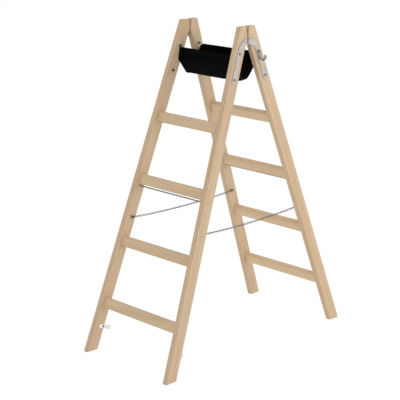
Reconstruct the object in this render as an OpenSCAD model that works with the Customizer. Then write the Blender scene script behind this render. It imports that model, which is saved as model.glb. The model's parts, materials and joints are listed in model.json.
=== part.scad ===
// Wooden A-frame rung ladder, climbed from both sides, with a fabric tool bag under its hinge.
// X runs along the rungs, Y from the front frame to the rear one, and Z is up.
// The origin lies on the floor, midway between the four feet of the open ladder.

/* [Frames] */
// Tilt of each frame from upright when the ladder stands open
lean = 20; // [17:0.5:23]
// Angle by which each stile runs inward towards the top
splay = 3.08; // [2:0.02:4]
// Width over the outer faces of the stiles at the floor
foot_width = 521; // [490:1:560]
// Distance from the floor to the lowest rung, along the stile
foot_to_rung = 220; // [190:5:260]
// Distance between rungs, along the stile
rung_pitch = 280; // [260:5:300]
// Distance from the highest rung to the hinge axis, along the stile
rung_to_pivot = 380; // [350:5:420]
// Length of stile above the hinge axis
pivot_to_top = 54; // [46:1:64]
// Distance from the hinge axis to the facing side of each stile
facing_gap = 8; // [7.5:0.5:10]
// Closest distance between the two stiles of a pair when open
touch_gap = 4; // [2:0.5:6]
// Angle at which the bevelled facing sides part above the hinge
bevel_extra = 9; // [5:0.5:13]

/* [Wood sections] */
// Thickness of a stile, across the ladder
stile_thick = 24; // [22:0.5:28]
// Depth of a stile, from its facing side to its outer side
stile_depth = 55; // [52:1:62]
// Rounding of the long edges of a stile
stile_round = 3; // [1:0.5:5]
// Height of a rung
rung_high = 46; // [42:1:48]
// Depth of a rung
rung_deep = 24; // [22:1:28]
// Rounding of the long edges of a rung
rung_round = 4; // [3:0.5:6]
// Rounding of the edges of a tenon
tenon_round = 4; // [1:0.5:4.5]
// Length of the tenon at each end of a rung
tenon_long = 15; // [10:1:18]
// Height of a tenon
tenon_high = 34; // [28:1:38]
// Depth of a tenon
tenon_deep = 14; // [10:1:16]

/* [Tie rods] */
// Diameter of the rod under the second rung
rod_d = 6; // [5:0.5:8]
// Clear distance between that rung and the rod
rod_gap = 4.5; // [3:0.5:8]
// Diameter of the flush nut at each end of the rod
rod_nut_d = 14; // [12:1:18]
// Thickness of that nut
rod_nut_t = 4; // [3:0.5:6]
// Depth of the rod's end below the outer face
rod_sink = 1; // [0.5:0.1:2]

/* [Hinges] */
// Thickness of the steel of a leaf
leaf_t = 4; // [3:0.5:5]
// Width of the strap of a leaf
strap_w = 24; // [20:1:28]
// Distance from the hinge axis to the middle of the strap
strap_off = 38; // [35:0.5:40]
// Distance from the hinge axis to the upper bolt, along the stile
bolt_high = 62; // [58:1:70]
// Distance from the hinge axis to the lower bolt, along the stile
bolt_low = 172; // [150:1:190]
// Length of strap past the lower bolt
strap_tail = 18; // [14:1:24]
// Radius of the eye at the end of a rear leaf
eye_r = 9; // [8:0.5:10.5]
// Distance from the edge of the eye to the step in the rear leaf
step_off = 12; // [10:0.5:14]
// Diameter of the hinge rivet
rivet_d = 8; // [6:0.5:10]
// Diameter of the rivet's inner head
rivet_head_d = 12; // [11:0.5:13.5]
// Thickness of the rivet's inner head
rivet_head_h = 2.5; // [1.5:0.1:3]
// Diameter of the rivet's domed outer head
rivet_dome_d = 14; // [12:0.5:16]
// Height of the rivet's domed outer head
rivet_dome_h = 3.5; // [2.5:0.5:5]

/* [Bolts and screws] */
// Diameter of the hinge bolts
bolt_d = 6; // [5:0.5:7]
// Diameter of their domed heads
bolt_head_d = 12; // [11:0.5:14]
// Height of their domed heads
bolt_head_h = 3.5; // [2.5:0.5:5]
// Diameter of the washers under their nuts
washer_d = 14; // [13:0.5:16]
// Thickness of the washers
washer_t = 1.5; // [1:0.1:2]
// Width of a nut across its flats
nut_flats = 10; // [9.5:0.5:12]
// Height of a nut
nut_h = 5; // [4:0.5:6]
// Length of bolt that shows past its nut
bolt_spare = 2; // [1:0.5:4]
// Diameter of the wood screws
screw_d = 4.5; // [4:0.1:5]
// Depth to which the wood screws go in
screw_deep = 16; // [12:1:18]
// Diameter of the wood screws' heads
screw_head_d = 10; // [9:0.5:12]
// Height of the wood screws' heads
screw_head_h = 3; // [2:0.5:4]
// Width of washer that shows round a chain screw's head
chain_washer_rim = 1; // [0.5:0.1:2]

/* [Bucket hook] */
// Thickness of the hook's strip
hook_t = 3; // [2.5:0.5:4]
// Width of the hook's strip
hook_w = 13; // [11:1:16]
// Straight length from the bolt to the bend
hook_stem = 25; // [20:1:30]
// Inner radius of the bend
hook_r = 13; // [11:1:15]
// Length of the upright tip
hook_tip = 3; // [2:1:10]

/* [Transport clips] */
// Distance from the floor to the clip, along the stile
clip_up = 113; // [100:1:130]
// Width of the clip's plate
clip_w = 18; // [15:1:22]
// Thickness of the clip's plate
clip_t = 3; // [2.5:0.5:4]
// Length of plate on the front stile
clip_base = 30; // [26:1:36]
// Length of tongue past the front stile
clip_tongue = 37; // [32:1:44]
// Width of the tongue at its root
clip_root_w = 12; // [10:1:15]
// Width of the tongue at its end
clip_end_w = 21; // [18:1:24]
// Rounding of the tongue's end
clip_end_round = 9; // [6:0.5:9.5]
// Rounding of the plate's corners
clip_round = 4; // [2:0.5:6]
// Distance from the facing side of the stile to the clip's screw
clip_screw_in = 7; // [6:0.5:9]

/* [Chains] */
// Distance from the third rung up to the chain screws, along the stile
chain_over = 109; // [95:1:125]
// Distance from the hinge axis to the chain screws, across the stile
chain_off = 33; // [28:1:38]
// Diameter of the chain's wire
wire_d = 2.2; // [2:0.1:2.6]
// Clear width inside a link
link_in_w = 5; // [4.8:0.1:6]
// Length that each link is to add to the chain
link_step = 12.3; // [11.8:0.1:13]
// Depth to which the chain sags at its middle
chain_sag = 10.5; // [6:0.5:14]
// Distance from the inner face of the stile to the middle of the chain
chain_stand = 7.5; // [7:0.5:10]

/* [Tool bag] */
// Space between the upper hinge washers and the bag's top edge
bag_under = 1.8; // [1:0.1:5]
// Height of the bag's upright part
bag_flap = 37; // [33:1:42]
// Height of the bag's V-shaped part
bag_vee = 75; // [65:0.5:90]
// Height by which the bag's rear edge stands above its front edge
bag_rear_rise = 6; // [3:0.5:10]
// Length of rear edge that is cut off at each of its corners
bag_corner_w = 25; // [18:1:32]
// Height of those cut-off corners
bag_corner_h = 20; // [14:1:26]
// Half the distance between the bag's top edges
bag_top_half = 59; // [56:1:61]
// Half the width of the bag at its widest place
bag_wide_half = 66; // [64:1:70]
// Radius of the rounded bottom
bag_low_r = 23; // [18:1:28]
// Thickness of the bag's cloth with its lining
cloth_t = 2; // [1.5:0.5:2.5]
// Width of the tabs by which the bag hangs
bag_tab_w = 20; // [18:1:24]
// Height of those tabs
bag_tab_h = 34; // [28:1:36]
// Width of tab that overlaps the bag's wall
bag_tab_lap = 4; // [3:0.5:6]
// Diameter of the washers on the tabs
bag_washer_d = 12; // [11:0.5:13]
// Thickness of the washers on the tabs
bag_washer_t = 1; // [0.8:0.1:1.5]

/* [Fits] */
// Gap that glue or thread fills between pieces that hold each other
snug = 0.05; // [0.02:0.01:0.1]
// Room round a bolt in its hole
hole_room = 0.1; // [0.05:0.01:0.2]
// Gap left for glue at the end of a blind hole
end_room = 0.5; // [0.3:0.1:1]
// Room between pieces that slide past each other
slide_room = 0.4; // [0.3:0.1:0.6]
// Play of each link in the next one
link_play = 0.3; // [0.2:0.05:0.4]
// Room between the bag and the stiles
bag_room = 0.6; // [0.55:0.05:0.8]

/* [Hidden] */
$fn = 48;

// Lines of a frame, in its own plane with the hinge axis as origin and Z along the stiles
stile_down = foot_to_rung + 3 * rung_pitch + rung_to_pivot;
stile_mid = facing_gap + stile_depth / 2;
pivot_height = stile_down * cos(lean) - stile_mid * sin(lean);
top_height = pivot_height + pivot_to_top * cos(lean) + stile_mid * sin(lean);
pivot_half = foot_width / 2 - stile_down * tan(splay);
inner_half = pivot_half - stile_thick / cos(splay);
bevel_from = (facing_gap * cos(lean) - touch_gap / 2) / sin(lean);
rung_z = [for (i = [0:3]) -rung_to_pivot - i * rung_pitch];
rod_z = rung_z[1] - rung_high / 2 - rod_gap - rod_d / 2;
rod_half = pivot_half - rod_z * tan(splay) - rod_sink;
far = 4 * stile_down;
over = stile_thick / 20;

// The height along a stile, at a depth x from its outer face, of a height in the frame's plane
function along_stile(z, x) = (z - x * sin(splay)) / cos(splay);
// A place seen from the side, from the hinge axis, turned into the plane of its frame
function in_frame(y, z) = [y * cos(lean) - z * sin(lean), (y * sin(lean) + z * cos(lean)) / cos(splay)];

// Lines of a hinge leaf: a straight strap, then an arc that is level where it meets the axis
leaf_turn = 90 - lean;
leaf_r = strap_off / (1 - cos(leaf_turn));
arc_z = -leaf_r * sin(leaf_turn);
step_r = eye_r + step_off;
front_eye_r = facing_gap - slide_room;
eye_gap = 2 * eye_r * sin(splay) * sin(lean) + slide_room;
rear_eye = leaf_t + eye_gap;
rivet_room = rivet_dome_d / 2 * sin(splay) + slide_room / 2;

// Lines of the bucket hook, outward from the stile
hook_from = leaf_t + hole_room;
hook_mid = hook_from + hook_t + hook_r;

// Lines of a transport clip
clip_down = along_stile(clip_up - stile_down, -stile_thick);
clip_screw_at = [-facing_gap - clip_screw_in, clip_down];
clip_end_r = min(clip_end_round, clip_end_w / 2 - snug);

// Lines of the chain, from one screw to the other along Y
chain_down = rung_z[2] + chain_over;
chain_z = pivot_height + chain_off * sin(lean) + chain_down * cos(lean);
chain_half = chain_off * cos(lean) - chain_down * sin(lean);
chain_x = inner_half - chain_down * tan(splay) - chain_stand;
chain_screw_at = [-chain_off, along_stile(chain_down, -stile_thick - chain_stand)];
hug = screw_d / 2 + link_play;
links = 2 * round(chain_half / link_step - 0.5) + 1;
link_pitch = (2 * chain_half + 2 * hug - link_play) / links;
link_in_l = link_pitch + link_play;
link_first = link_in_l / 2 - hug;
weld = wire_d / 25;
mid_links = 3;
strand_links = (links - mid_links) / 2;
function link_y(i) = -chain_half + link_first + i * link_pitch;
function chain_rise(y) = chain_sag * (pow(y / chain_half, 2) - 1);
function chain_slope(y) = atan(2 * chain_sag * y / pow(chain_half, 2));

// Lines of the bag's cross-section, seen from the side with heights from the floor
bag_top_drop = bolt_high * cos(lean) - strap_off * sin(lean) + washer_d / 2 + bag_under;
bag_wide_drop = bag_top_drop + bag_flap;
bag_top = pivot_height - bag_top_drop;
bag_wide = bag_top - bag_flap;
bag_low = bag_wide - bag_vee;
bag_mid = bag_low + bag_low_r;
bag_wall = acos(bag_low_r / norm([bag_wide_half, bag_wide - bag_mid]))
    - atan2(bag_wide - bag_mid, bag_wide_half);
bag_tilt = (bag_wide_half - bag_top_half) / bag_flap;
bag_screw_drop = bag_wide_drop - bag_tab_h / 2;
bag_front_tab = bag_wide_half - bag_tab_lap / 2 - bag_tab_w;
bag_rear_tab = bag_wide_half - bag_tab_lap;
bag_screw_front = in_frame(-bag_front_tab - bag_tab_w / 2, -bag_screw_drop);
bag_screw_rear = in_frame(-bag_rear_tab - bag_tab_w / 2, -bag_screw_drop);
bag_stand = cloth_t + bag_room + slide_room;
// A point on the stiles' inner faces at the bag's walls, let out by a margin
function bag_reach(z) = -in_frame(-bag_wide_half, z - pivot_height)[1] * sin(splay);
function bag_corner(s, z, margin) = [s * (inner_half + margin + bag_reach(z)), z];

wood = [0.82, 0.71, 0.57];
zinc = [0.76, 0.76, 0.77];
dark_steel = [0.42, 0.41, 0.40];
white_plastic = [0.94, 0.94, 0.93];
black_cloth = [0.05, 0.05, 0.06];

// Places: the plane of a frame, and the outer face of its right-hand stile within that plane
module front() translate([0, 0, pivot_height]) rotate([-lean, 0, 0]) children();
module rear() mirror([0, 1, 0]) front() children();
module level() rotate([lean, 0, 0]) translate([0, 0, -pivot_height]) children();
module on_stile() translate([pivot_half, 0, 0]) rotate([0, -splay, 0]) children();
module left() mirror([1, 0, 0]) children();
module both_sides() {
    children();
    left() children();
}

// Ways to sweep an outline drawn in Y and Z along X
module along_x(long) rotate([90, 0, 90]) linear_extrude(long, center = true) children();
module plate(from, thick) translate([from, 0, 0]) rotate([90, 0, 90]) linear_extrude(thick) children();
module rod(from, to, d) translate([from, 0, 0]) rotate([0, 90, 0]) cylinder(h = to - from, d = d);

module rounded_rect(w, h, r) {
    square([w - 2 * r, h], center = true);
    square([w, h - 2 * r], center = true);
    for (x = [-1, 1], y = [-1, 1])
        translate([x * (w / 2 - r), y * (h / 2 - r)]) circle(r);
}

// The space between the inner faces of the stiles, let out by a margin on each side
module between_stiles(margin, low, high)
    rotate([90, 0, 0])
        linear_extrude(far, center = true)
            polygon([
                for (s = [-1, 1], z = s < 0 ? [low, high] : [high, low])
                    [s * (inner_half + margin - z * tan(splay)), z]
            ]);

// A low domed head that stands on the plane x = from and points along +X
module dome(from, d, h)
    translate([from, 0, 0])
        rotate([0, 90, 0])
            rotate_extrude()
                intersection() {
                    square([d / 2, h]);
                    translate([0, h - (d * d / 4 + h * h) / (2 * h)]) circle((d * d / 4 + h * h) / (2 * h));
                }

// Stiles: a rounded bar, cut level at the floor and top and bevelled above the hinge
module stile_bar()
    translate([-stile_thick / 2, -stile_mid, -stile_down - stile_depth])
        linear_extrude(stile_down + pivot_to_top + 2 * stile_depth)
            rounded_rect(stile_thick, stile_depth, stile_round);

module tenon(z, room)
    translate([0, -stile_mid, z])
        along_x(far)
            rounded_rect(tenon_deep + 2 * room, tenon_high + 2 * room, tenon_round + room);

module mortises()
    intersection() {
        on_stile()
            translate([-stile_thick - over, -far / 2, -far])
                cube([tenon_long + end_room + over, far, 2 * far]);
        for (z = rung_z)
            tenon(z, snug);
    }

module end_cuts() {
    level()
        translate([-far / 2, -far / 2, -far])
            cube(far);
    level()
        translate([-far / 2, -far / 2, top_height])
            cube(far);
    along_x(far)
        polygon([
            [-facing_gap, bevel_from],
            [-facing_gap - far * tan(lean + bevel_extra), bevel_from + far],
            [0, bevel_from + far],
            [0, bevel_from]
        ]);
}

module screw_hole(at)
    translate([0, at[0], at[1]])
        rod(-stile_thick - over, -stile_thick + screw_deep + end_room, screw_d + 2 * snug);

module stile_holes(bag_screw) {
    for (z = [bolt_high, bolt_low])
        translate([0, -strap_off, -z])
            rod(-stile_thick - over, over, bolt_d + 2 * hole_room);
    translate([0, -stile_mid, along_stile(rod_z, 0)])
        rod(-rod_nut_t, over, rod_nut_d + 2 * snug);
    screw_hole(chain_screw_at);
    screw_hole(bag_screw);
}

module stile(bag_screw, has_clip)
    color(wood)
        difference() {
            on_stile()
                difference() {
                    stile_bar();
                    stile_holes(bag_screw);
                    if (has_clip)
                        screw_hole(clip_screw_at);
                }
            mortises();
            translate([0, -stile_mid, rod_z])
                rod(0, far, rod_d + 2 * hole_room);
            end_cuts();
        }

// Rungs: rounded bars with shoulders on the stiles and a tenon at each end
module rung(z)
    color(wood)
        union() {
            intersection() {
                translate([0, -stile_mid, z])
                    along_x(far)
                        rounded_rect(rung_deep, rung_high, rung_round);
                between_stiles(0, z - rung_high, z + rung_high);
            }
            intersection() {
                tenon(z, 0);
                between_stiles(tenon_long, z - rung_high, z + rung_high);
            }
        }

// Tie rods below the second rungs, with nuts sunk flush in the outer faces
module tie_rod()
    color(dark_steel)
        translate([0, -stile_mid, rod_z])
            rod(-rod_half, rod_half, rod_d);

module rod_nuts()
    color(zinc)
        both_sides()
            difference() {
                on_stile()
                    translate([0, -stile_mid, along_stile(rod_z, 0)])
                        rod(-rod_nut_t, 0, rod_nut_d);
                translate([0, -stile_mid, rod_z])
                    rod(0, far, rod_d + 2 * snug);
            }

// Hinge leaves: the front one lies flat, the rear one steps out over the front one's eye
module leaf_outline(end_r) {
    translate([-strap_off - strap_w / 2, -bolt_low - strap_tail + strap_w / 2])
        square([strap_w, bolt_low + strap_tail - strap_w / 2 + arc_z]);
    translate([-strap_off, -bolt_low - strap_tail + strap_w / 2])
        circle(d = strap_w);
    translate([leaf_r - strap_off, arc_z])
        intersection() {
            difference() {
                circle(leaf_r + strap_w / 2, $fn = 96);
                circle(leaf_r - strap_w / 2, $fn = 96);
            }
            polygon([
                [0, 0],
                for (i = [-1:10])
                    2 * leaf_r * [-cos(i * leaf_turn / 10), sin(i * leaf_turn / 10)]
            ]);
        }
    circle(end_r);
}

module leaf_bores(pivot_room) {
    on_stile()
        for (z = [bolt_high, bolt_low])
            translate([0, -strap_off, -z])
                rod(-over, leaf_t + over, bolt_d + 2 * hole_room);
    translate([pivot_half, 0, 0])
        rod(-leaf_t, 4 * leaf_t, rivet_d + 2 * pivot_room);
}

module front_leaf()
    color(zinc)
        difference() {
            on_stile()
                plate(0, leaf_t)
                    leaf_outline(front_eye_r);
            leaf_bores(snug);
        }

module rear_leaf()
    color(zinc)
        difference() {
            on_stile() {
                plate(0, leaf_t)
                    difference() {
                        leaf_outline(eye_r);
                        circle(step_r);
                    }
                plate(rear_eye, leaf_t)
                    intersection() {
                        leaf_outline(eye_r);
                        circle(step_r + leaf_t);
                    }
                plate(0, rear_eye + leaf_t)
                    intersection() {
                        leaf_outline(eye_r);
                        difference() {
                            circle(step_r + leaf_t);
                            circle(step_r);
                        }
                    }
            }
            leaf_bores(hole_room);
        }

module hinge_rivet()
    color(zinc)
        translate([pivot_half, 0, 0]) {
            rod(-rivet_room - rivet_head_h, rear_eye + leaf_t + rivet_room + rivet_dome_h / 2, rivet_d);
            rod(-rivet_room - rivet_head_h, -rivet_room, rivet_head_d);
            dome(rear_eye + leaf_t + rivet_room, rivet_dome_d, rivet_dome_h);
        }

// Hinge bolts, each with its head on the leaf and its nut on the inner face of the stile
module hinge_bolt(z, under_head)
    on_stile()
        translate([0, -strap_off, -z]) {
            rod(-stile_thick - washer_t - nut_h - bolt_spare, under_head + bolt_head_h / 2, bolt_d);
            dome(under_head, bolt_head_d, bolt_head_h);
        }

module hinge_bolts(right_upper_head)
    color(dark_steel) {
        hinge_bolt(bolt_high, right_upper_head);
        hinge_bolt(bolt_low, leaf_t);
        left() hinge_bolt(bolt_high, leaf_t);
        left() hinge_bolt(bolt_low, leaf_t);
    }

module hinge_washers()
    color(zinc)
        both_sides()
            on_stile()
                for (z = [bolt_high, bolt_low])
                    translate([-stile_thick, -strap_off, -z])
                        difference() {
                            rod(-washer_t, 0, washer_d);
                            rod(-washer_t - over, over, bolt_d + 2 * hole_room);
                        }

module hinge_nuts()
    color(dark_steel)
        both_sides()
            on_stile()
                for (z = [bolt_high, bolt_low])
                    translate([-stile_thick - washer_t, -strap_off, -z])
                        difference() {
                            translate([-nut_h, 0, 0])
                                rotate([0, 90, 0])
                                    cylinder(h = nut_h, d = nut_flats / cos(30), $fn = 6);
                            rod(-nut_h - over, over, bolt_d + 2 * snug);
                        }

// Bucket hook: a bent strip that turns on the upper bolt of the right rear leaf
module bucket_hook()
    color(zinc)
        on_stile()
            translate([0, -strap_off, -bolt_high])
                difference() {
                    union() {
                        plate(hook_from, hook_t) {
                            circle(hook_w / 2);
                            translate([-hook_w / 2, -hook_stem]) square([hook_w, hook_stem]);
                        }
                        translate([hook_mid, 0, -hook_stem])
                            rotate([90, 0, 0])
                                rotate([0, 0, 180])
                                    rotate_extrude(angle = 180)
                                        translate([hook_r, -hook_w / 2])
                                            square([hook_t, hook_w]);
                        plate(hook_mid + hook_r, hook_t)
                            translate([0, -hook_stem]) {
                                translate([-hook_w / 2, 0]) square([hook_w, hook_tip]);
                                translate([0, hook_tip]) circle(hook_w / 2);
                            }
                    }
                    rod(0, 3 * leaf_t, bolt_d + 2 * hole_room);
                }

// Transport clips: plastic plates whose springy tongues reach over the folded rear stiles
module transport_clip()
    color(white_plastic)
        on_stile()
            translate([-stile_thick, -facing_gap, clip_down])
                difference() {
                    union() {
                        plate(-clip_t, clip_t)
                            translate([-clip_base / 2, 0])
                                rounded_rect(clip_base, clip_w, clip_round);
                        plate(-clip_t, clip_t - slide_room)
                            clip_tongue_outline();
                    }
                    translate([0, -clip_screw_in, 0])
                        rod(-clip_t - over, over, screw_d + 2 * hole_room);
                }

module clip_tongue_outline() {
    polygon([
        [-clip_base / 4, -clip_root_w / 2],
        [clip_tongue - clip_end_r, -clip_end_w / 2],
        [clip_tongue - clip_end_r, clip_end_w / 2],
        [-clip_base / 4, clip_root_w / 2]
    ]);
    intersection() {
        translate([clip_tongue - 2 * clip_end_r, 0])
            rounded_rect(4 * clip_end_r, clip_end_w, clip_end_r);
        translate([clip_tongue - clip_end_r, -clip_end_w])
            square(2 * clip_end_w);
    }
}

module face_screw(at, stand)
    on_stile()
        translate([-stile_thick, at[0], at[1]])
            mirror([1, 0, 0]) {
                rod(-screw_deep, stand + screw_head_h / 2, screw_d);
                dome(stand, screw_head_d, screw_head_h);
            }

module face_washer(at, from, d, thick)
    on_stile()
        translate([-stile_thick, at[0], at[1]])
            mirror([1, 0, 0])
                difference() {
                    rod(from, from + thick, d);
                    rod(from - over, from + thick + over, screw_d + 2 * hole_room);
                }

module clip_screws()
    color(dark_steel)
        both_sides()
            face_screw(clip_screw_at, clip_t);

// Chains: interlocked links from a screw on each front stile to one on the rear stile
module chain_screws()
    color(dark_steel)
        both_sides()
            face_screw(chain_screw_at, chain_stand + wire_d / 2 + slide_room);

module chain_washers()
    color(zinc)
        both_sides()
            face_washer(chain_screw_at, 0, screw_head_d + 2 * chain_washer_rim, washer_t);

// A link's two straight sides run a hair into its bends, so that it is one piece of wire
module link() {
    bend_r = (link_in_w + wire_d) / 2;
    run = link_in_l - link_in_w;
    for (s = [-1, 1])
        translate([0, s * bend_r, 0])
            rod(-run / 2 - weld, run / 2 + weld, wire_d - weld / 10);
    for (s = [-1, 1])
        translate([s * run / 2, 0, 0])
            rotate([0, 0, -90 * s])
                rotate_extrude(angle = 180)
                    translate([bend_r, 0])
                        circle(d = wire_d);
}

module chain(from, to)
    color(zinc)
        for (i = [from:to])
            translate([chain_x, link_y(i), chain_z + chain_rise(link_y(i))])
                rotate([chain_slope(link_y(i)), 0, 0])
                    rotate([i % 2 == 0 ? 90 : 0, 0, 90])
                        link();

module chain_front() chain(0, strand_links - 1);
module chain_middle() chain(strand_links, strand_links + mid_links - 1);
module chain_rear() chain(strand_links + mid_links, links - 1);

// Tool bag: an open trough with low ends and a sewn tab on each stile
module bag_section(inset, rise) {
    low_r = bag_low_r - inset;
    rear_top = bag_rear_rise + rise;
    polygon([
        [-bag_top_half + inset, bag_top + rise],
        [-bag_wide_half + inset, bag_wide],
        [-low_r * cos(bag_wall), bag_mid - low_r * sin(bag_wall)],
        [low_r * cos(bag_wall), bag_mid - low_r * sin(bag_wall)],
        [bag_wide_half - inset, bag_wide],
        [bag_top_half - inset - rear_top * bag_tilt, bag_top + rear_top]
    ]);
    translate([0, bag_mid])
        circle(low_r);
}

module bag_tab(from)
    translate([from, bag_wide])
        square([bag_tab_w, bag_tab_h]);

// The space between the stiles at the bag's walls, with the bag's own margin
module bag_space(margin)
    rotate([90, 0, 0])
        linear_extrude(far, center = true)
            polygon([
                for (s = [-1, 1], i = [-1, 1])
                    bag_corner(s, bag_wide - s * i * 2 * bag_vee, margin)
            ]);

// The cut-off corners of the bag's rear edge
module bag_corners()
    both_sides()
        translate([bag_corner(1, bag_top, -bag_room)[0], 2 * bag_wide_half, bag_top + bag_rear_rise])
            rotate([90, 0, 0])
                linear_extrude(1.5 * bag_wide_half)
                    polygon([
                        [-2 * bag_corner_w, bag_corner_h],
                        [bag_corner_w, -2 * bag_corner_h],
                        [bag_corner_w, bag_corner_h]
                    ]);

module tool_bag()
    color(black_cloth)
        difference() {
            union() {
                intersection() {
                    along_x(far)
                        difference() {
                            bag_section(0, 0);
                            bag_section(cloth_t, over);
                        }
                    difference() {
                        bag_space(-bag_room);
                        bag_corners();
                    }
                }
                intersection() {
                    along_x(far) {
                        intersection() {
                            bag_section(0, 0);
                            translate([-far / 2, bag_low - over]) square([far, bag_vee]);
                        }
                        bag_tab(-bag_front_tab - bag_tab_w);
                        bag_tab(bag_rear_tab);
                    }
                    difference() {
                        bag_space(-bag_room);
                        bag_space(-bag_room - cloth_t);
                    }
                }
            }
            both_sides() {
                front() bag_screw_bore(bag_screw_front);
                rear() bag_screw_bore(bag_screw_rear);
            }
        }

module bag_screw_bore(at)
    on_stile()
        translate([-stile_thick, at[0], at[1]])
            rod(-2 * bag_stand, stile_thick, screw_d + 2 * hole_room);

module bag_screws(at)
    color(dark_steel)
        both_sides()
            face_screw(at, bag_stand + bag_washer_t);

module bag_washers(at)
    color(dark_steel)
        both_sides()
            face_washer(at, bag_stand, bag_washer_d, bag_washer_t);

front() left() stile(bag_screw_front, true);  // front_left_stile
front() stile(bag_screw_front, true);  // front_right_stile
rear() left() stile(bag_screw_rear, false);  // rear_left_stile
rear() stile(bag_screw_rear, false);  // rear_right_stile
front() rung(rung_z[0]);  // front_rung_1
front() rung(rung_z[1]);  // front_rung_2
front() rung(rung_z[2]);  // front_rung_3
front() rung(rung_z[3]);  // front_rung_4
rear() rung(rung_z[0]);  // rear_rung_1
rear() rung(rung_z[1]);  // rear_rung_2
rear() rung(rung_z[2]);  // rear_rung_3
rear() rung(rung_z[3]);  // rear_rung_4
front() tie_rod();  // front_tie_rod
rear() tie_rod();  // rear_tie_rod
front() rod_nuts();  // front_rod_nuts
rear() rod_nuts();  // rear_rod_nuts
front() left() front_leaf();  // left_hinge_front_leaf
rear() left() rear_leaf();  // left_hinge_rear_leaf
front() left() hinge_rivet();  // left_hinge_rivet
front() front_leaf();  // right_hinge_front_leaf
rear() rear_leaf();  // right_hinge_rear_leaf
front() hinge_rivet();  // right_hinge_rivet
front() hinge_bolts(leaf_t);  // front_hinge_bolts
rear() hinge_bolts(hook_from + hook_t + hole_room);  // rear_hinge_bolts
front() hinge_washers();  // front_hinge_washers
rear() hinge_washers();  // rear_hinge_washers
front() hinge_nuts();  // front_hinge_nuts
rear() hinge_nuts();  // rear_hinge_nuts
rear() bucket_hook();
front() left() transport_clip();  // left_transport_clip
front() transport_clip();  // right_transport_clip
front() clip_screws();
front() chain_screws();  // front_chain_screws
rear() chain_screws();  // rear_chain_screws
front() chain_washers();  // front_chain_washers
rear() chain_washers();  // rear_chain_washers
left() chain_front();  // left_chain_front
left() chain_middle();  // left_chain_middle
left() chain_rear();  // left_chain_rear
chain_front();  // right_chain_front
chain_middle();  // right_chain_middle
chain_rear();  // right_chain_rear
tool_bag();
front() bag_screws(bag_screw_front);  // front_bag_screws
rear() bag_screws(bag_screw_rear);  // rear_bag_screws
front() bag_washers(bag_screw_front);  // front_bag_washers
rear() bag_washers(bag_screw_rear);  // rear_bag_washers
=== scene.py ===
import json
from math import acos, atan2, cos, hypot, pi, radians, sin, sqrt, tan

import bmesh
import bpy
from mathutils import Euler, Matrix, Vector


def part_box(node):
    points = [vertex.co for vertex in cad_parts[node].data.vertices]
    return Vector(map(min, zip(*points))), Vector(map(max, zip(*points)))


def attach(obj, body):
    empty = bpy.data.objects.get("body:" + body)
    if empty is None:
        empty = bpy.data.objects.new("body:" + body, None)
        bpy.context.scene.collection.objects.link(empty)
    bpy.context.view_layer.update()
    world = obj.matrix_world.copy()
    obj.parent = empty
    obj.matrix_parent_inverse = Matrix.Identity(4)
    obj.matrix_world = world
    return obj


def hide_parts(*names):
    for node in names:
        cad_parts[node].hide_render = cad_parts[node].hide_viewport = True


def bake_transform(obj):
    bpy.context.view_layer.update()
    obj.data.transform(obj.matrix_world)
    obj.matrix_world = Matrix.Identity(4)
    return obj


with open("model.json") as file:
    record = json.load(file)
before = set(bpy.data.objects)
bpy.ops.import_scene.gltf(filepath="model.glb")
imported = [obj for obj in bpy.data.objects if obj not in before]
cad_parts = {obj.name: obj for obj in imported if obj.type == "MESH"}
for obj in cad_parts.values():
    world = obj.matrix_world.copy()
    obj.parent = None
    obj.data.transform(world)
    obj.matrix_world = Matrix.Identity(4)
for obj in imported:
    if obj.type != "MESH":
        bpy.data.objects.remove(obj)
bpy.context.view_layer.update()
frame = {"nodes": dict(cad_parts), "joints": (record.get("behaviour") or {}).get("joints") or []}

nodes = frame["nodes"]
scene = bpy.context.scene
scene.view_settings.view_transform = "Standard"


# The view: a camera above head height in front of the ladder's right-hand side, as far off
# as a product photographer stands, so that the upright lines stay nearly parallel.
eye = Vector((3.7129, -3.8290, 2.1128))
aim = Vector((0.0761, -0.1748, 0.6743))
lens = bpy.data.cameras.new("camera")
lens.sensor_fit = "HORIZONTAL"
lens.angle = radians(18.013)
lens.clip_end = 40
camera = bpy.data.objects.new("camera", lens)
camera.location = eye
camera.rotation_euler = (aim - eye).to_track_quat("-Z", "Y").to_euler()
scene.collection.objects.link(camera)
scene.camera = camera


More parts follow.
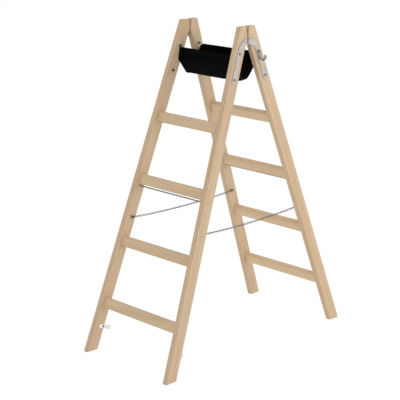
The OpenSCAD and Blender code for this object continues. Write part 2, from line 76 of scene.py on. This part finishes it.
# Stiles and rungs: planed spruce bars and beech rungs, tenoned together, under a clear matt oil.
# The grain runs along each bar, in faint rings with paler and pinker streaks. Sawn ends are
# darker. The narrow faces and the eased edges are darkened as painted shade, and the rear frame's
# bars are painted lighter as painted light from the floor.
class Sock:
    # One socket of a material, so that shader maths reads as a Python expression. The node method
    # adds any other node: its type, its settings and the values or links of its sockets.
    def __init__(self, tree, out=None):
        self.tree = tree
        self.out = out

    def feed(self, made, sockets):
        for name, value in sockets.items():
            if isinstance(value, Sock):
                self.tree.links.new(value.out, made.inputs[name])
            else:
                made.inputs[name].default_value = value

    def node(self, kind, settings, sockets, out=0):
        made = self.tree.nodes.new("ShaderNode" + kind)
        for name, value in settings.items():
            setattr(made, name, value)
        self.feed(made, sockets)
        return Sock(self.tree, made.outputs[out])

    def maths(self, operation, *values):
        return self.node("Math", {"operation": operation}, dict(enumerate(values)))

    def __add__(self, other):
        return self.maths("ADD", self, other)

    def __sub__(self, other):
        return self.maths("SUBTRACT", self, other)

    def __rsub__(self, other):
        return self.maths("SUBTRACT", other, self)

    def __mul__(self, other):
        return self.maths("MULTIPLY", self, other)

    def __pow__(self, other):
        return self.maths("POWER", self, other)

    __radd__ = __add__
    __rmul__ = __mul__

    def absolute(self, value):
        return self.maths("ABSOLUTE", value)

    def largest(self, first, *others):
        for other in others:
            first = self.maths("MAXIMUM", first, other)
        return first

    def between(self, low, high):
        return self.node("MapRange", {"interpolation_type": "SMOOTHSTEP"}, {0: self, 1: low, 2: high})

    def blend(self, first, second):
        return self.node("Mix", {"data_type": "RGBA"}, {0: self, 6: first, 7: second}, 2)

    def coordinate(self, kind):
        return self.node("TexCoord", {}, {}, kind)

    def axis(self, vector, index):
        return self.node("SeparateXYZ", {}, {0: vector}, index)

    def stretch(self, vector, amount):
        return self.node("VectorMath", {"operation": "MULTIPLY"}, {0: vector, 1: amount})

    def noise(self, vector, scale, detail, rough=0.5):
        sockets = {"Vector": vector, "Scale": scale, "Detail": detail, "Roughness": rough}
        return self.node("TexNoise", {}, sockets)

    def bump(self, height, strength, distance):
        return self.node("Bump", {}, {"Height": height, "Strength": strength, "Distance": distance})


def finish(name, paint):
    material = bpy.data.materials.new(name)
    material.use_nodes = True
    m = Sock(material.node_tree)
    m.feed(material.node_tree.nodes["Principled BSDF"], paint(m))
    return material


def dress(material, *names):
    for name in names:
        nodes[name].data.materials.clear()
        nodes[name].data.materials.append(material)


def rgb(red, green, blue):
    return tuple(((c + 0.055) / 1.055) ** 2.4 if c > 0.04045 else c / 12.92
                 for c in (red / 255, green / 255, blue / 255)) + (1,)


ring_sway, ring_uneven, ring_sharp = 0.02, 2.2, 2.5
ring_tone, fleck_tone, streak_tone, fibre_tone, sawn_tone = 0.36, 0.16, 0.14, 0.22, 0.35


def wood(name, turn, tilt, pith, ring, narrow, narrow_painted_shade, pale, warm, dark, painted_arris_shade):
    def paint(m):
        place = m.coordinate("Object")
        along = m.node("Mapping", {}, {"Vector": place, "Rotation": turn, "Location": pith})

        def grain(run, scale, detail, rough=0.5):
            return m.noise(m.stretch(along, (1, 1, run)), scale, detail, rough)

        sway = grain(run=0.07, scale=14, detail=2) - 0.5
        radius = m.node("VectorMath", {"operation": "LENGTH"}, {0: m.stretch(along, (1, 1, 0))}, 1)
        years = {"W": radius, "Scale": 70, "Detail": 1}
        uneven = m.node("TexNoise", {"noise_dimensions": "1D"}, years) - 0.5
        from_pith = radius + sway * ring_sway + uneven * ring * ring_uneven
        wave = m.maths("SINE", from_pith * (2 * pi / ring))
        strong = 0.4 + grain(run=0.07, scale=30, detail=2).between(0.35, 0.65) * 0.6
        rings = (wave * 0.5 + 0.5) ** ring_sharp * strong
        cloud = grain(run=0.07, scale=22, detail=3).between(0.3, 0.7)
        fibre = grain(run=0.012, scale=900, detail=3, rough=0.6)
        fleck = grain(run=0.03, scale=320, detail=2).between(0.62, 0.75)
        streak = grain(run=0.02, scale=95, detail=2).between(0.35, 0.65)

        normal = m.coordinate("Normal")
        faced = m.node("Mapping", {"vector_type": "NORMAL"}, {"Vector": normal, "Rotation": turn})
        sawn = m.absolute(m.axis(faced, 2)).between(0.7, 0.9)
        squared = m.node("Mapping", {"vector_type": "NORMAL"}, {"Vector": normal, "Rotation": tilt})
        sides = [m.absolute(m.axis(squared, index)) for index in (0, 1, 2)]
        shaded_arris = 1 - m.largest(*sides).between(0.82, 0.93)

        colour = cloud.blend(pale, warm)
        colour = (rings * ring_tone + fleck * fleck_tone + streak * streak_tone).blend(colour, dark)
        colour = (fibre.between(0.35, 0.75) * fibre_tone).blend(colour, dark)
        # Sawn end grain is darker, and the narrow faces are darkened as painted shade.
        colour = (sawn * sawn_tone + sides[narrow].between(0.8, 0.95) * narrow_painted_shade).blend(colour, dark)
        # The eased edges are darkened along the arrises as painted shade.
        colour = (shaded_arris * (0.35 + cloud * 0.3)).blend(colour, painted_arris_shade)
        height = fibre * 0.6 + rings * 0.4
        return {"Base Color": colour, "Roughness": 0.5 + fibre * 0.2 + sawn * 0.15,
                "Specular IOR Level": 0.35, "Normal": m.bump(height, strength=0.25, distance=0.0006)}
    return finish(name, paint)


lean = radians(20)
splay = radians(3.08)
# The rear stiles get a lighter copy of the front stiles' tones, as painted light from the floor on their
# downward sides.
spruce_tones_rear_lit = {
    "front": {"ring": 0.0042, "narrow": 1, "narrow_painted_shade": 0.2, "pale": rgb(215, 192, 160),
              "warm": rgb(209, 180, 148), "dark": rgb(177, 146, 111), "painted_arris_shade": rgb(150, 122, 92)},
    "rear": {"ring": 0.0046, "narrow": 1, "narrow_painted_shade": 0.06, "pale": rgb(219, 196, 163),
             "warm": rgb(213, 184, 151), "dark": rgb(181, 149, 113), "painted_arris_shade": rgb(154, 126, 95)},
}
# The rear rungs get a lighter copy of the front rungs' tones, as painted light from the floor.
beech_tones_rear_lit = {
    "front": {"ring": 0.0075, "narrow": 2, "narrow_painted_shade": 0.2, "pale": rgb(216, 193, 159),
              "warm": rgb(210, 183, 149), "dark": rgb(178, 148, 112), "painted_arris_shade": rgb(176, 148, 114)},
    "rear": {"ring": 0.0068, "narrow": 2, "narrow_painted_shade": 0.3, "pale": rgb(230, 207, 171),
             "warm": rgb(224, 197, 161), "dark": rgb(191, 160, 122), "painted_arris_shade": rgb(190, 161, 124)},
}
crossways = (0.0, radians(90), 0.0)
for end, tip in (("front", 1), ("rear", -1)):
    for side, way in (("left", -1), ("right", 1)):
        turn = (tip * lean, way * splay, 0.0)
        pith = (0.031 * way + 0.02 * tip, 0.045 - 0.02 * way, 0.0)
        bar = "%s_%s_stile" % (end, side)
        dress(wood(bar, turn, turn, pith, **spruce_tones_rear_lit[end]), bar)
    tilt = (tip * lean, 0.0, 0.0)
    pith = (0.05, 0.03 * tip, 0.0)
    dress(wood(end + "_rungs", crossways, tilt, pith, **beech_tones_rear_lit[end]),
          *["%s_rung_%d" % (end, step) for step in (1, 2, 3, 4)])


# Tie rods: drawn steel, a little dulled by handling. Each runs under a second rung and draws the
# stiles together with a nut at either end, sunk flush into the wood. The ends stay bright.
shank_half, end_half = 0.2, 0.21


def steel(name, bright, dull, rough, grain, ends=None):
    def paint(m):
        place = m.coordinate("Object")
        cells = m.node("TexVoronoi", {}, {"Vector": place, "Scale": grain}, "Color")
        spangle = m.axis(cells, 0)
        smear = m.noise(place, scale=60, detail=4, rough=0.6)
        scratch = m.noise(m.stretch(place, (1, 1, 0.1)), scale=1400, detail=2)
        colour = (spangle * 0.3 + smear * 0.7).between(0.25, 0.75).blend(bright, dull)
        if ends:
            colour = m.absolute(m.axis(place, 0)).between(shank_half, end_half).blend(colour, ends)
        spread = rough + spangle * 0.06 + smear.between(0.4, 0.7) * 0.16
        height = scratch * 0.5 + smear * 0.5
        return {"Base Color": colour, "Metallic": 0.9, "Roughness": spread,
                "Normal": m.bump(height, strength=0.12, distance=0.0003)}
    return finish(name, paint)


rod_steel = steel("tie_rod_steel", rgb(168, 160, 152), rgb(130, 123, 115), rough=0.35, grain=300,
                  ends=rgb(206, 194, 174))
dress(rod_steel, "front_tie_rod", "rear_tie_rod")
nut_steel = steel("rod_nut_steel", rgb(206, 192, 168), rgb(186, 171, 146), rough=0.46, grain=300)
dress(nut_steel, "front_rod_nuts", "rear_rod_nuts")


# Hinges: four arched leaves, stamped from flat steel with a pale zinc coat and riveted in pairs.
# Each leaf is held to its stile by two bolts, gone duller and darker, with washers and nuts on
# the inner face.
zinc = steel("hinge_zinc", rgb(212, 204, 198), rgb(190, 182, 177), rough=0.42, grain=480)
for side in ("left", "right"):
    dress(zinc, side + "_hinge_front_leaf", side + "_hinge_rear_leaf", side + "_hinge_rivet")
bolt_steel = steel("bolt_steel", rgb(128, 122, 122), rgb(96, 92, 92), rough=0.38, grain=500)
dress(bolt_steel, "front_hinge_bolts", "rear_hinge_bolts", "front_hinge_nuts", "rear_hinge_nuts")
washer_zinc = steel("washer_zinc", rgb(196, 190, 184), rgb(170, 164, 158), rough=0.4, grain=500)
dress(washer_zinc, "front_hinge_washers", "rear_hinge_washers", "front_chain_washers", "rear_chain_washers")


# Bucket hook: a strip of zinc-coated steel, bent outwards, and painted darker than the hinge as the
# shade inside its bend. It hangs on the upper bolt of the right-hand rear leaf and can swing there.
hook_zinc = steel("hook_zinc", rgb(176, 168, 160), rgb(132, 124, 116), rough=0.34, grain=480)
dress(hook_zinc, "bucket_hook")


# Transport clips: moulded white plastic, faintly mottled, each on one bronzed screw in the inner
# face of a front stile. They hold the ladder shut while it is carried.
def plastic(m):
    place = m.coordinate("Object")
    mottle = m.noise(place, scale=90, detail=3)
    grit = m.noise(place, scale=1600, detail=2)
    colour = mottle.between(0.35, 0.7).blend(rgb(240, 240, 241), rgb(226, 229, 232))
    return {"Base Color": colour, "Roughness": 0.36 + mottle * 0.12,
            "Normal": m.bump(grit, strength=0.08, distance=0.0003)}


dress(finish("clip_plastic", plastic), "left_transport_clip", "right_transport_clip")
screw_bronze = steel("screw_bronze", rgb(124, 104, 90), rgb(90, 73, 60), rough=0.35, grain=500)
dress(screw_bronze, "clip_screws", "front_chain_screws", "rear_chain_screws")


# Check chains: welded links of zinc-coated wire, darker where they rub in each other. A chain on
# each side runs from a screw in the front stile to one in the rear stile, and keeps the frames
# from spreading further.
chain_zinc = steel("chain_zinc", rgb(152, 148, 144), rgb(108, 104, 101), rough=0.32, grain=600)
for side in ("left", "right"):
    dress(chain_zinc, *["%s_chain_%s" % (side, run) for run in ("front", "middle", "rear")])


# Chain plugs: short beech dowels, glued into the stiles' outer faces over the ends of the chain
# screws and planed flush. Only their end grain shows, a little darker than the stile.
plug_wide, plug_deep, plug_proud, plug_bevel = 0.013, 0.003, 0.0001, 0.0003
plug_sides, look_from = 32, 0.05


def end_grain(m):
    place = m.coordinate("Object")
    pores = m.noise(place, scale=1500, detail=2).between(0.4, 0.65)
    rays = m.noise(place, scale=260, detail=3).between(0.35, 0.65)
    colour = (pores * 0.4 + rays * 0.6).blend(rgb(208, 185, 153), rgb(184, 158, 125))
    return {"Base Color": colour, "Roughness": 0.58 + pores * 0.15, "Specular IOR Level": 0.3,
            "Normal": m.bump(pores, strength=0.2, distance=0.0003)}


def built(name, shape, material):
    mesh = bpy.data.meshes.new(name)
    shape.to_mesh(mesh)
    shape.free()
    mesh.materials.append(material)
    made = bpy.data.objects.new(name, mesh)
    scene.collection.objects.link(made)
    return made


plug_wood = finish("plug_end_grain", end_grain)
bpy.context.view_layer.update()
for end, tip in (("front", 1), ("rear", -1)):
    low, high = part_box(end + "_chain_screws")
    plugs = bmesh.new()
    for side, way, screw_x in (("left", -1, low.x), ("right", 1, high.x)):
        outward = Euler((tip * lean, way * splay, 0.0)).to_matrix().inverted() @ Vector((way, 0.0, 0.0))
        outside = Vector((screw_x, (low.y + high.y) / 2, (low.z + high.z) / 2)) + outward * look_from
        face = nodes["%s_%s_stile" % (end, side)].ray_cast(outside, -outward)[1]
        seat = Matrix.Translation(face + outward * (plug_proud - plug_deep / 2))
        seat = seat @ outward.to_track_quat("Z", "Y").to_matrix().to_4x4()
        bmesh.ops.create_cone(plugs, cap_ends=True, segments=plug_sides, radius1=plug_wide / 2,
                              radius2=plug_wide / 2, depth=plug_deep, matrix=seat)
    rims = [e for e in plugs.edges if e.calc_face_angle() > 1]
    bmesh.ops.bevel(plugs, geom=rims, offset=plug_bevel, affect="EDGES", segments=2, profile=0.5,
                    material=-1)
    chain_plugs = built(end + "_chain_plugs", plugs, plug_wood)
    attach(chain_plugs, end + "_frame")


# Tool bag: black coated cloth, sewn from one body panel and two low ends and hung by four tabs
# on screws. Its rear edge stands higher and has cut corners, and both long edges are hemmed.
bag_rise, bag_flap, bag_vee, bag_round = 0.006, 0.045, 0.0715, 0.023
wide_half, top_half, axis_half = 0.066, 0.059, 0.158182
bag_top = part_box("tool_bag")[1].z - bag_rise
bag_wide = bag_top - bag_flap
bag_mid = bag_wide - bag_vee + bag_round
reach = hypot(wide_half, bag_wide - bag_mid)
wall_turn = acos(bag_round / reach) - atan2(bag_wide - bag_mid, wide_half)
tuck_y = bag_round * cos(wall_turn)
tuck_z = bag_mid - bag_round * sin(wall_turn)
wall_long = hypot(wide_half - tuck_y, bag_wide - tuck_z)
arc_long = bag_round * (pi / 2 - wall_turn)
near = 0.0003

# The body panel: a flap and a wall, mirrored, joined by the rounded bottom and drawn out along X,
# from -1 to 1 until the cloth is hung.
flap_cuts, wall_cuts, bottom_steps, long_cuts = 8, 17, 11, 63
bag = bmesh.new()
rim = bag.verts.new((-1, -top_half, bag_top))
elbow = bag.verts.new((-1, -wide_half, bag_wide))
tuck = bag.verts.new((-1, -tuck_y, tuck_z))
flap = bag.edges.new((rim, elbow))
wall = bag.edges.new((elbow, tuck))
bmesh.ops.subdivide_edges(bag, edges=[flap], cuts=flap_cuts)
bmesh.ops.subdivide_edges(bag, edges=[wall], cuts=wall_cuts)
bmesh.ops.mirror(bag, geom=bag.verts[:] + bag.edges[:], axis="Y", merge_dist=-1)
tuck = min((v for v in bag.verts if v.co.y < 0), key=lambda v: v.co.z)
bmesh.ops.spin(bag, geom=[tuck], cent=(-1, 0, bag_mid), axis=(1, 0, 0), angle=pi - 2 * wall_turn,
               steps=bottom_steps)
bmesh.ops.remove_doubles(bag, verts=bag.verts[:], dist=near)
swept = bmesh.ops.extrude_edge_only(bag, edges=bag.edges[:])["geom"]
bmesh.ops.translate(bag, verts=[g for g in swept if isinstance(g, bmesh.types.BMVert)], vec=(2, 0, 0))
length_ways = [e for e in bag.edges if abs(e.verts[0].co.x - e.verts[1].co.x) > 1]
bmesh.ops.subdivide_edges(bag, edges=length_ways, cuts=long_cuts, use_grid_fill=True)

# The two ends close it up to its widest line. Each tab grows sideways from an end of a flap, and
# its middle face is left out as the hole for the screw.
end_cuts, tab_columns = 13, 3
tab_long, tab_tall, tab_drop, root_drop, hole_drop = 0.02, 0.0332, 0.0364, 0.0401, 0.02
front_tab, rear_tab = -0.064, 0.062
for side in (-1, 1):
    end_edges = [e for e in bag.edges
                 if len(e.link_faces) == 1 and all(v.co.x * side > 1 - near for v in e.verts)]
    low_edges = [e for e in end_edges if all(v.co.z < bag_wide + near for v in e.verts)]
    low_edges = [e for e in low_edges if e.verts[0].co.y * e.verts[1].co.y > 0]
    across = bmesh.ops.bridge_loops(bag, edges=low_edges)["edges"]
    bmesh.ops.subdivide_edges(bag, edges=across, cuts=end_cuts, use_grid_fill=True)
    for way, tab_from in ((-1, front_tab), (1, rear_tab)):
        grown = [e for e in end_edges
                 if all(v.co.y * way > 0 and bag_top - root_drop < v.co.z < bag_top - near
                        for v in e.verts)]
        for column in range(1, tab_columns + 1):
            spread = bmesh.ops.extrude_edge_only(bag, edges=grown)["geom"]
            grown = [g for g in spread if isinstance(g, bmesh.types.BMEdge)]
            corners = [g for g in spread if isinstance(g, bmesh.types.BMVert)]
            corners.sort(key=lambda v: v.co.z)
            for row, v in enumerate(corners):
                v.co.y = tab_from + tab_long * column / tab_columns
                v.co.z = bag_top - tab_drop + tab_tall * row / (len(corners) - 1)
        hole = Vector((side, tab_from + tab_long / 2, bag_top - hole_drop))
        middle = min(bag.faces, key=lambda f: (f.calc_center_median() - hole).length)
        bmesh.ops.delete(bag, geom=[middle], context="FACES")


# The section's half-width at a height, by which the body panel is told from its ends and tabs.
def half_at(z):
    if z > bag_wide:
        return wide_half + (top_half - wide_half) * (z - bag_wide) / bag_flap
    if z > tuck_z:
        return tuck_y + (wide_half - tuck_y) * (z - tuck_z) / (bag_wide - tuck_z)
    return sqrt(max(0.0, bag_round ** 2 - (bag_mid - z) ** 2))


def on_panel(v):
    return abs(abs(v.co.y) - half_at(v.co.z)) < near


# The cloth's own flat coordinates, along the bag and round its section, for weave and stitches.
# The ends and tabs lie beside the body panel.
panel_half, ends_apart = 0.163, 0.4
flat = bag.loops.layers.uv.new("cloth")
for face in bag.faces:
    for loop in face.loops:
        x, y, z = loop.vert.co
        if not on_panel(loop.vert):
            loop[flat].uv = (ends_apart + y, z)
            continue
        if z > bag_wide:
            around = arc_long + wall_long + hypot(abs(y) - wide_half, z - bag_wide)
        elif z > tuck_z:
            around = arc_long + hypot(abs(y) - tuck_y, z - tuck_z)
        else:
            around = bag_round * atan2(abs(y), bag_mid - z)
        loop[flat].uv = (x * panel_half, around if y > 0 else -around)

# What is seamed and what is hemmed is picked out while the cloth is still straight.
hem_tall = 0.0101
seam_verts = [v for v in bag.verts
              if abs(v.co.x) > 1 - near and v.co.z < bag_wide + near and on_panel(v)]
seam_verts.sort(key=lambda v: (v.co.x, v.co.y))
bag.faces.index_update()
hem_faces = {f.index for f in bag.faces
             if all(v.co.z > bag_top - hem_tall and on_panel(v) for v in f.verts)}

# The cloth hangs between its tabs: its walls belly out, its ends sink in, and it creases a little.
# The right-hand end is drawn up at the bottom, and the left-hand end hangs lower.
hinge_z = next(joint["pos_m"][2] for joint in frame["joints"] if joint["name"] == "fold")
belly_out, crease_deep, sag, bottom_half = 0.0022, 0.0008, 0.002, 0.02
gather_from, gather_long, right_up, left_down, bottom_less = 0.125, 0.043, 0.011, 0.006, 0.7
end_in, end_dip = 0.006, 0.005
corner_long, corner_cut, front_rise, flap_lean = 0.025, 0.02, 0.0025, 0.19
for v in bag.verts:
    x, y, z = v.co
    body = on_panel(v)
    rear = y > 0
    way = 1 if rear else -1
    lift = max(0.0, (z - bag_wide) / bag_flap)
    depth = max(0.0, (bag_wide - z) / bag_vee)
    slack = 1 - x * x
    half_long = axis_half + (wide_half * sin(lean) + (hinge_z - z) * cos(lean)) * tan(splay)
    v.co.x = x * half_long
    if z > bag_wide + near and not body:
        continue
    gather = max(0.0, (abs(v.co.x) - gather_from) / gather_long) ** 2
    drawn = right_up * depth * depth if x > 0 else -left_down * (1 - lift - bottom_less * depth)
    v.co.z += gather * drawn
    if not body:
        sunk = max(0.0, 1 - (y / half_at(z)) ** 2) * min(1.0, 2 * (1 - depth))
        v.co.x -= x * end_in * sunk
        v.co.z -= end_dip * sunk * (1 - depth)
        continue
    if lift > 0:
        cut = min(1.0, max(0.0, 1 - (half_long - abs(v.co.x)) / corner_long))
        rise = bag_rise - corner_cut * cut if rear else front_rise * min(1.0, 6 * slack)
        v.co.z += rise * lift
        v.co.y -= way * flap_lean * rise * lift
    belly = belly_out * slack * (lift + sin(pi * min(1.0, depth)))
    crease = crease_deep * slack * sin(21 * x + 5 * way + 3 * depth) * sin(9 * x + 4 * depth + way)
    v.co.y += way * (belly + crease) * min(1.0, abs(y) / bottom_half)
    v.co.z -= sag * slack * depth
bmesh.ops.recalc_face_normals(bag, faces=bag.faces[:])
if min(bag.faces, key=lambda f: f.calc_center_median().z).normal.z > 0:
    bmesh.ops.reverse_faces(bag, faces=bag.faces[:])
cut_area = sum(face.calc_area() for face in bag.faces)
seam_line = [v.co.copy() for v in seam_verts]
for face in bag.faces:
    face.smooth = True

cloth_thick = 0.0014
stitch_in, stitch_long = 0.0085, 0.0024


def cloth(m):
    place = m.coordinate("UV")
    along = m.axis(place, 0)
    around = m.absolute(m.axis(place, 1))
    thread = {"Vector": place, "Scale": 260, "Distortion": 0.4, "Detail": 1}
    warp = m.node("TexWave", {"bands_direction": "X"}, thread, 1)
    weft = m.node("TexWave", {"bands_direction": "Y"}, thread, 1)
    weave = m.largest(warp, weft)
    stitch_line = arc_long + wall_long + bag_flap - stitch_in
    row = 1 - m.absolute(around - stitch_line).between(0.0003, 0.0006)
    stitch = row * m.maths("PINGPONG", along, stitch_long).between(0.0006, 0.0009)
    rumple = m.noise(m.coordinate("Object"), scale=26, detail=3)
    colour = (rumple.between(0.3, 0.75) * 0.6 + weave * 0.4).blend(rgb(3, 3, 4), rgb(10, 10, 11))
    colour = stitch.blend(colour, rgb(40, 40, 42))
    height = weave * 0.25 + rumple + stitch * 0.8
    return {"Base Color": colour, "Roughness": 0.62 + weave * 0.2, "Specular IOR Level": 0.02,
            "Normal": m.bump(height, strength=0.4, distance=0.0012)}


bag_black = finish("bag_cloth", cloth)
bag_cloth = built("tool_bag_cloth", bag, bag_black)
thick = bag_cloth.modifiers.new("cloth", "SOLIDIFY")
thick.thickness = cloth_thick
thick.offset = -1


# Hems: both top edges of the body panel, folded over once and sewn down with one row of
# stitches, so that the cloth is twice as thick there.
hem_thick = 0.0026
hem = bmesh.new()
hem.from_mesh(bag_cloth.data)
bmesh.ops.delete(hem, geom=[f for f in hem.faces if f.index not in hem_faces], context="FACES")
bag_hems = built("tool_bag_hems", hem, bag_black)
thick = bag_hems.modifiers.new("fold", "SOLIDIFY")
thick.thickness = hem_thick
thick.offset = -0.5


# Piping: a narrow woven tape, sewn over the seam round each of the bag's two ends. It is a shade
# lighter than the cloth.
piping_round = 0.0012


def tape(m):
    thread = {"Vector": m.coordinate("Object"), "Scale": 180, "Distortion": 1}
    ribs = m.node("TexWave", {"bands_direction": "DIAGONAL"}, thread, 1)
    return {"Base Color": ribs.blend(rgb(16, 16, 17), rgb(38, 38, 40)), "Roughness": 0.6 + ribs * 0.2,
            "Specular IOR Level": 0.15, "Normal": m.bump(ribs, strength=0.3, distance=0.0004)}


line = bpy.data.curves.new("piping", "CURVE")
line.dimensions = "3D"
line.bevel_depth = piping_round
line.bevel_resolution = 3
line.use_fill_caps = True
for way in (-1, 1):
    run = [at for at in seam_line if at.x * way > 0]
    spline = line.splines.new("POLY")
    spline.points.add(len(run) - 1)
    for point, at in zip(spline.points, run):
        point.co = (at.x - piping_round * way, at.y, at.z, 1)
tape_line = bpy.data.objects.new("piping_line", line)
piping_mesh = bpy.data.meshes.new_from_object(tape_line)
bpy.data.objects.remove(tape_line)
piping_mesh.materials.clear()
piping_mesh.materials.append(finish("bag_tape", tape))
bag_piping = bpy.data.objects.new("tool_bag_piping", piping_mesh)
scene.collection.objects.link(bag_piping)
for piece in (bag_cloth, bag_hems, bag_piping):
    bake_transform(piece)
    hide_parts("tool_bag")


# Bag screws: short steel wood screws with washers, one through the hole of each tab into the inner
# face of a stile. They are blackened, so that they don't show against the cloth.
black_steel = steel("bag_screw_black", rgb(40, 40, 42), rgb(24, 24, 26), rough=0.4, grain=500)
dress(black_steel, "front_bag_screws", "rear_bag_screws", "front_bag_washers", "rear_bag_washers")


# The studio: white all round, a little brighter on the right, over a white floor that shows
# only a breath of the ladder's shadow, with one broad lamp on the right.
white = (1, 1, 1, 1)
all_round, from_right, from_rear = 0.88, 0.2, 0.04


def seen(m):
    rays = ("Is Camera Ray", "Is Glossy Ray", "Is Transmission Ray")
    return m.largest(*[m.node("LightPath", {}, {}, ray) for ray in rays])


world = bpy.data.worlds.new("studio")
world.use_nodes = True
scene.world = world
sky = Sock(world.node_tree)
toward = sky.coordinate("Generated")
soft = sky.axis(toward, 0) * from_right + sky.axis(toward, 1) * from_rear + all_round
sky.feed(world.node_tree.nodes["Background"], {"Color": white, "Strength": sky.largest(seen(sky), soft)})

floor_half, floor_drop, floor_glow = 12, 0.0005, 0.93
sweep = bpy.data.materials.new("sweep")
sweep.use_nodes = True
paper = Sock(sweep.node_tree)
lit = paper.node("BsdfDiffuse", {}, {"Color": (0.98, 0.98, 0.98, 1)})
glow = paper.node("Emission", {}, {"Color": white, "Strength": 1.02})
mixed = paper.node("MixShader", {}, {0: seen(paper) * floor_glow, 1: lit, 2: glow})
paper.feed(sweep.node_tree.nodes["Material Output"], {"Surface": mixed})
ground = bmesh.new()
bmesh.ops.create_grid(ground, x_segments=1, y_segments=1, size=floor_half)
floor = built("floor", ground, sweep)
floor.location.z = -floor_drop

light = bpy.data.lights.new("key", "AREA")
light.size = 2.4
light.energy = 12
lamp = bpy.data.objects.new("key", light)
lamp.location = (3.6, 0.6, 2.6)
lamp.rotation_euler = (Vector((0, 0, 0.7)) - lamp.location).to_track_quat("-Z", "Y").to_euler()
scene.collection.objects.link(lamp)
